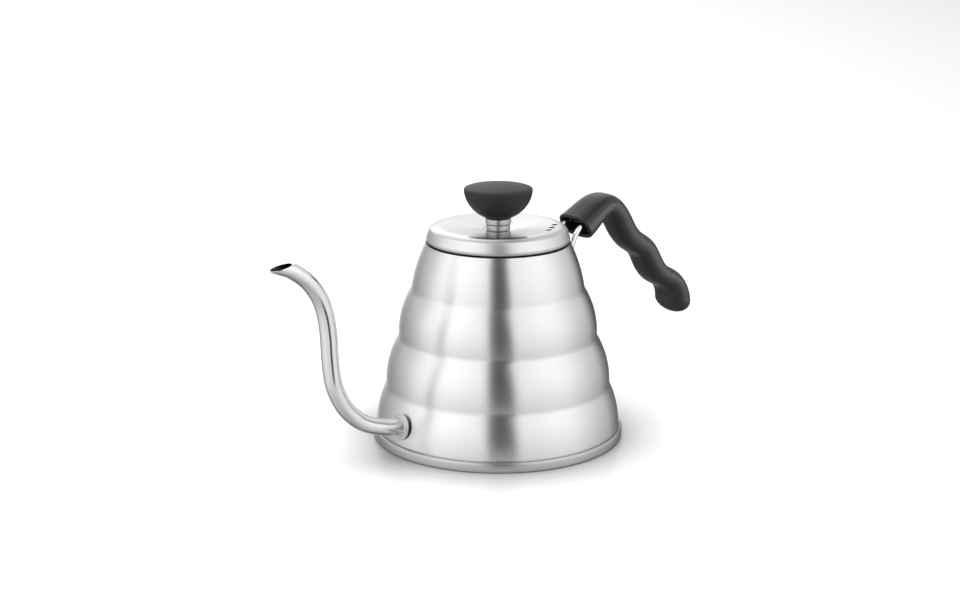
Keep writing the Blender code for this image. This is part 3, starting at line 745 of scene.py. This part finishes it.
def make_lid():
    """The lid's cap with its three vents, and the plug ring that steadies it in the mouth."""
    outside = lid_outside()
    inside = offset(outside, SHEET)
    inside[0] = (SCREW_R + GAP, LID_SEAT[1] - SHEET)
    hem_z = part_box("lid_cap")[0].z
    hem = [
        (LID_HEM_R - 0.15 * MM, hem_z + 0.05 * MM),
        (LID_HEM_R - SHEET * 0.5, hem_z),
        (LID_HEM_R - SHEET + 0.1 * MM, hem_z + 0.05 * MM),
    ]
    inside[-1] = (LID_HEM_R - SHEET, hem_z + HEM_ROLL)
    skin = turned(outside + hem + inside[::-1])
    cap = show("lid_cap_polished", skin, LID_STEEL, "lid", ["lid_cap"])
    repaint(cap, SKIRT_STEEL, lambda face: face.center.xy.length > SKIRT_FROM_R)
    # Painted shade: the hem's roll is painted dark steel for the shadow gap over the ledge.
    repaint(cap, PAINTED_SHADE_STEEL, lambda face: face.center.z < hem_z + HEM_ROLL)
    heading = math.radians(VENT_ROW_HEADING)
    along_row = Vector((math.cos(heading), math.sin(heading), 0.0))
    spots = [Vector((*VENT_MIDDLE, LID_SEAT[1])) + along_row * (VENT_PITCH * step) for step in (-1, 0, 1)]
    reach = Vector((0.0, 0.0, 6 * MM))
    drill(cap, [rod(spot - reach, spot + reach, VENT_R) for spot in spots])

    # Painted shade: the vents' walls are painted dark steel.
    def on_hole_edge(face):
        steep = abs(face.normal.z) < 0.3
        return steep and any((face.center - spot).xy.length < VENT_R * 1.1 for spot in spots)

    repaint(cap, PAINTED_SHADE_STEEL, on_hole_edge)

    plug_r = NECK_R - 0.4 * MM
    plug_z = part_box("lid_plug_ring")[0].z
    flange_r = LID_HEM_R - SHEET - GAP
    flange_z = LEDGE_Z + GAP
    plug = [
        (plug_r - SHEET, plug_z, 0.35 * MM),
        (plug_r, plug_z, 0.35 * MM),
        (plug_r, flange_z, 0.3 * MM),
        (flange_r, flange_z, 0.3 * MM),
        (flange_r, flange_z + SHEET, 0.3 * MM),
        (plug_r - SHEET, flange_z + SHEET, 0.6 * MM),
    ]
    ring = turned(eased(plug))
    show("lid_plug_ring_satin", ring, BODY_STEEL, "lid", ["lid_plug_ring"])


def make_knob():
    """The knob, an elliptical bowl under a shallow dome, and the two stem rings under it."""
    top_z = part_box("lid_knob")[1].z
    bottom, top = math.radians(KNOB_BOWL_FROM), math.radians(KNOB_BOWL_TO)
    steps = 30
    bowl = []
    for step in range(steps + 1):
        turn = bottom + (top - bottom) * step / steps
        out = (math.sin(turn) - math.sin(bottom)) / (math.sin(top) - math.sin(bottom))
        rise = (math.cos(bottom) - math.cos(turn)) / (math.cos(bottom) - math.cos(top))
        radius = KNOB_FOOT[0] + (KNOB_RIM[0] - KNOB_FOOT[0]) * out
        bowl.append((radius, KNOB_FOOT[1] + (KNOB_RIM[1] - KNOB_FOOT[1]) * rise, 0.0))
    shoulder_r = KNOB_RIM[0] - 2.2 * MM
    shoulder_z = KNOB_RIM[1] + 2.1 * MM
    crown = [
        (KNOB_RIM[0] - 0.1 * MM, KNOB_RIM[1] + 1.3 * MM, 0.6 * MM),
        (shoulder_r, shoulder_z, 0.7 * MM),
    ]
    steps = 12
    for step in range(1, steps + 1):
        t = step / steps
        crown.append((shoulder_r * (1 - t), shoulder_z + (top_z - shoulder_z) * (1 - (1 - t) ** 2), 0.0))
    crown[-1] = (0.0, top_z, 0.0)
    socket_r = INSERT_R + GAP
    socket_top = INSERT_TOP_Z + 1.5 * MM
    socket = [(0.0, socket_top, 0.0), (socket_r, socket_top, 0.2 * MM), (socket_r, KNOB_FOOT[1], 0.2 * MM)]
    bowl[0] = (*KNOB_FOOT, 0.2 * MM)
    outline = eased(socket + bowl + crown, closed=False)
    show("lid_knob_moulded", turned(outline), KNOB_RESIN, "lid", ["lid_knob"])

    for name in ("stem_ring_lower", "stem_ring_upper"):
        low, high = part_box(name)
        ring = [
            (SCREW_R + GAP, low.z, 0.1 * MM),
            (high.x, low.z, 0.45 * MM),
            (high.x, high.z, 0.45 * MM),
            (SCREW_R + GAP, high.z, 0.1 * MM),
        ]
        show(name + "_turned", turned(eased(ring)), STEM_STEEL, "lid", [name])


# ---------------------------------------------------------------- handle


def grip_rings(stations, travelled, inset):
    """Distance, centre, heading, half width and half thickness along the grip, thinner all round by inset."""
    rings = []
    for (centre, heading), distance in zip(stations, travelled):
        share = distance / travelled[-1]
        width = between(GRIP_WIDTH, share) * MM / 2 - inset
        thickness = between(GRIP_THICKNESS, share) * MM / 2 - inset
        rings.append((distance, centre, heading, width, thickness))
    return rings


def make_grip():
    """The moulded grip, open at its front where the bracket goes in, and rounded at its end."""
    stations = route(GRIP_KNOTS, 10)
    travelled = distances(stations)
    length = travelled[-1]
    body = [ring for ring in grip_rings(stations, travelled, 0.0) if ring[0] < length - GRIP_CAP]
    end = stations[-1][0]
    steps = 16
    for step in range(steps):
        turn = 0.5 * math.pi * step / steps
        distance = length - GRIP_CAP * (1.0 - math.sin(turn))
        centre, heading = station_at(stations, travelled, distance)
        slim = math.cos(turn)
        width = between(GRIP_WIDTH, distance / length) * MM / 2 * slim
        thickness = between(GRIP_THICKNESS, distance / length) * MM / 2 * slim
        body.append((distance, centre, heading, width, thickness))
    pocket = [ring for ring in grip_rings(stations, travelled, GRIP_WALL) if ring[0] < POCKET_DEPTH]
    front, front_heading = stations[0]
    rounding = []
    steps = 6
    for step in range(steps + 1):
        turn = math.pi * step / steps
        inset = GRIP_WALL * (1.0 - math.cos(turn)) / 2
        ahead = GRIP_LIP * (1.0 - math.sin(turn))
        _, _, _, width, thickness = body[0]
        centre = front + front_heading * ahead
        rounding.append((ahead, centre, front_heading, width - inset, thickness - inset))
    past_lip = GRIP_LIP * 1.2
    outer = rounding[::-1] + [ring for ring in body if ring[0] > past_lip]
    inner = [ring for ring in pocket if ring[0] > past_lip]
    rings = [section(c, h, w, t, GRIP_SIDES, GRIP_SQUARENESS) for _, c, h, w, t in inner[::-1] + outer]
    skin = loft([[inner[-1][1]]] + rings + [[end]])
    grip = show("handle_grip_moulded", skin, GRIP_RESIN, "root", ["handle_grip"])
    low, high = grip_screw_line()
    hole = rod(low, high, GRIP_HOLE_R, ROD_SIDES)
    counterbore = rod(low, low.lerp(high, COUNTERBORE_SHARE), COUNTERBORE_R, ROD_SIDES)
    drill(grip, [hole, counterbore])
    return grip


def grip_screw_line():
    """From under the grip up through the tang, along the grip screw."""
    x, z = GRIP_SCREW_AT
    heading = heading_vector(TANG_HEADING)
    upward = Vector((-heading.z, 0.0, heading.x))
    middle = Vector((x, 0.0, z)) * MM + heading * GRIP_SCREW_ALONG_TANG
    return middle - upward * GRIP_SCREW_BELOW, middle + upward * GRIP_SCREW_ABOVE


def make_bracket():
    """The two bent rods, and the saddle that follows the shoulder and carries them."""
    stations = route(ROD_KNOTS, 12)
    travelled = distances(stations)
    for node, side in (("bracket_rod_left", -1.0), ("bracket_rod_right", 1.0)):
        aside = Vector((0.0, side * ROD_OFFSET, 0.0))
        rings = [[stations[0][0] + aside]]
        lengths = [0.0]
        for (centre, heading), distance in zip(stations, travelled):
            rings.append(section(centre + aside, heading, ROD_R, ROD_R, ROD_SIDES))
            lengths.append(distance * BRUSH_SCALE)
        rings.append([stations[-1][0] + aside])
        lengths.append(lengths[-1])
        show(node + "_drawn", loft(rings, lengths), ROD_STEEL, "root", [node])

    rows = 24
    drop = (SADDLE_TOP_Z - SADDLE_LOW_Z) / rows
    heights = [SADDLE_TOP_Z - drop * row for row in range(rows + 1)]
    inner = [(wall_radius(height) + GAP * 0.5, height) for height in heights]
    outer = offset(inner, -SADDLE_THICKNESS)
    outer[0] = (outer[0][0] - 0.35 * MM, outer[0][1] - 0.05 * MM)
    outer[-1] = (outer[-1][0] - 0.35 * MM, outer[-1][1] + 0.05 * MM)
    outline = inner + outer[::-1]
    columns = 24
    rings = []
    for column in range(columns + 1):
        angle = math.radians(SADDLE_HALF_ANGLE * (2.0 * column / columns - 1.0))
        rings.append([Vector((r * math.cos(angle), r * math.sin(angle), z)) for r, z in outline])
    skin = loft(rings)
    skin.verts.ensure_lookup_table()
    count = len(outline)
    skin.faces.new([skin.verts[here] for here in range(count)])
    skin.faces.new([skin.verts[columns * count + here] for here in range(count)])
    saddle = show("bracket_saddle_welded", skin, BODY_STEEL, "root", ["bracket_saddle"])
    bevel = saddle.modifiers.new("eased", "BEVEL")
    bevel.width = 0.25 * MM
    bevel.segments = 3
    bevel.limit_method = "ANGLE"
    bevel.angle_limit = math.radians(60.0)


make_body()
make_foot()
make_spout()
make_lid()
make_knob()
grip = make_grip()
make_bracket()
# The tang, deep in the grip's pocket, is painted dark steel as painted shade.
KEPT = {
    "handle_tang": PAINTED_SHADE_STEEL,
    "grip_screw": PLAIN_STEEL,
    "grip_nut": BRASS,
    "knob_insert": BRASS,
    "knob_washer": PLAIN_STEEL,
    "knob_screw": PLAIN_STEEL,
}
for node, material in KEPT.items():
    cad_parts[node].data.materials.clear()
    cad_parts[node].data.materials.append(material)


# ---------------------------------------------------------------- studio


def make_world():
    """A soft light all round: bright in front and at the sides, dim at the back corners and overhead."""
    world = bpy.data.worlds.new("studio")
    world.use_nodes = True
    bpy.context.scene.world = world
    nodes = Nodes(world.node_tree)
    where = nodes.add("ShaderNodeTexCoord").outputs["Generated"]
    axes = nodes.add("ShaderNodeSeparateXYZ", {0: where}).outputs
    up = nodes.math("MULTIPLY", nodes.math("ARCSINE", axes["Z"]), 1.0 / math.pi)
    turn = nodes.math("ARCTAN2", axes["Y"], axes["X"])
    turn = nodes.math("SUBTRACT", turn, math.radians(STUDIO_FRONT))
    turn = nodes.math("MULTIPLY", turn, 0.5 / math.pi)
    around = nodes.math("WRAP", turn, 0.5, -0.5)
    around_stops = [(a / 360 + 0.5, v / BRIGHTEST) for a, v in AROUND]
    around_light = nodes.ramp(nodes.math("ADD", around, 0.5), around_stops)
    up_light = nodes.ramp(nodes.math("ADD", up, 0.5), [(a / 180 + 0.5, v) for a, v in UPWARD])
    level = nodes.math("MULTIPLY", nodes.math("MULTIPLY", around_light, up_light), BRIGHTEST)
    behind = nodes.math("SUBTRACT", 0.5, nodes.math("ABSOLUTE", around))
    rear_around = nodes.ramp(behind, [(a / 360, v) for a, v in REAR_AROUND])
    rear_up = nodes.ramp(nodes.math("ADD", up, 0.5), [(a / 180 + 0.5, v) for a, v in REAR_UPWARD])
    rear = nodes.math("MULTIPLY", nodes.math("MULTIPLY", rear_around, rear_up), REAR_LEVEL)
    power = nodes.math("MULTIPLY", nodes.math("ADD", level, rear), LIGHT_POWER)
    seen = nodes.add("ShaderNodeLightPath").outputs["Is Camera Ray"]
    strength = nodes.add("ShaderNodeMix", {"Factor": seen, "A": power, "B": 1.0}).outputs["Result"]
    background = nodes.add("ShaderNodeBackground", {"Color": (1.0, 1.0, 1.0, 1.0), "Strength": strength})
    nodes.add("ShaderNodeOutputWorld", {"Surface": background.outputs[0]})


def make_floor():
    """A plain pale floor, a little glossy, with a painted shadow that darkens it where the kettle stands
    close over it.
    """
    skin = bmesh.new()
    bmesh.ops.create_grid(skin, x_segments=8, y_segments=8, size=FLOOR_SIZE)
    mesh = bpy.data.meshes.new("floor")
    skin.to_mesh(mesh)
    skin.free()
    made, nodes = new_material("floor_white")
    # Painted shadow: the floor's colour darkens by how much of the sky above it is closed off.
    open_sky = nodes.add("ShaderNodeAmbientOcclusion", {"Distance": CONTACT_REACH}, samples=8).outputs["AO"]
    shade = nodes.math("POWER", open_sky, CONTACT_DEPTH)
    tone = nodes.add("ShaderNodeVectorMath", {0: (0.92, 0.92, 0.92), "Scale": shade}, operation="SCALE")
    shader = nodes.add(
        "ShaderNodeBsdfPrincipled",
        {"Base Color": tone.outputs[0], "Roughness": 0.25, "Specular IOR Level": 0.35},
    )
    finish_material(nodes, shader)
    mesh.materials.append(made)
    floor = bpy.data.objects.new("floor", mesh)
    floor.location.z = FLOOR_Z
    bpy.context.scene.collection.objects.link(floor)
    floor.visible_glossy = False


def make_card():
    """A black card close in front, leaning a little, and seen only in reflections."""
    skin = bmesh.new()
    corners = []
    for height, middle, half_width in (CARD_FOOT, CARD_TOP):
        sides = (middle - half_width, middle + half_width)
        for degrees in sides if height < 0.0 else sides[::-1]:
            angle = math.radians(STUDIO_FRONT + degrees)
            corners.append(skin.verts.new((CARD_FAR * math.cos(angle), CARD_FAR * math.sin(angle), height)))
    skin.faces.new(corners)
    mesh = bpy.data.meshes.new("card")
    skin.to_mesh(mesh)
    skin.free()
    made, nodes = new_material("card_black")
    finish_material(nodes, nodes.add("ShaderNodeEmission", {"Strength": CARD_LEVEL}))
    mesh.materials.append(made)
    card = bpy.data.objects.new("card", mesh)
    bpy.context.scene.collection.objects.link(card)
    card.visible_camera = False
    card.visible_diffuse = False
    card.visible_shadow = False
    card.visible_transmission = False


def make_overhead():
    """One wide soft light, high over the kettle and a little behind it."""
    data = bpy.data.lights.new("overhead", "AREA")
    data.shape = "DISK"
    data.size = OVERHEAD_SIZE
    data.energy = OVERHEAD_POWER
    light = bpy.data.objects.new("overhead", data)
    light.location = OVERHEAD_AT
    light.visible_glossy = False
    bpy.context.scene.collection.objects.link(light)


def make_side_box(grip):
    """The small soft box that lights the grip's near side, and nothing else."""
    data = bpy.data.lights.new("side_box", "AREA")
    data.shape = "RECTANGLE"
    data.size, data.size_y = SIDE_BOX_SIZE
    data.energy = SIDE_BOX_POWER
    light = bpy.data.objects.new("side_box", data)
    light.location = SIDE_BOX_AT
    light.rotation_mode = "QUATERNION"
    light.rotation_quaternion = (SIDE_BOX_FACES - SIDE_BOX_AT).to_track_quat("-Z", "Y")
    light.visible_camera = False
    lit = bpy.data.collections.new("lit_by_side_box")
    lit.objects.link(grip)
    light.light_linking.receiver_collection = lit
    bpy.context.scene.collection.objects.link(light)


def make_camera():
    """The camera of the main view."""
    data = bpy.data.cameras.new("camera")
    data.lens = CAMERA_LENS
    data.sensor_width = 36.0
    camera = bpy.data.objects.new("camera", data)
    camera.location = CAMERA_AT
    camera.rotation_mode = "QUATERNION"
    camera.rotation_quaternion = CAMERA_LOOKS.to_track_quat("-Z", "Y")
    bpy.context.scene.collection.objects.link(camera)
    bpy.context.scene.camera = camera


make_world()
make_floor()
make_card()
make_overhead()
make_side_box(grip)
make_camera()
bpy.context.scene.view_settings.view_transform = "Standard"
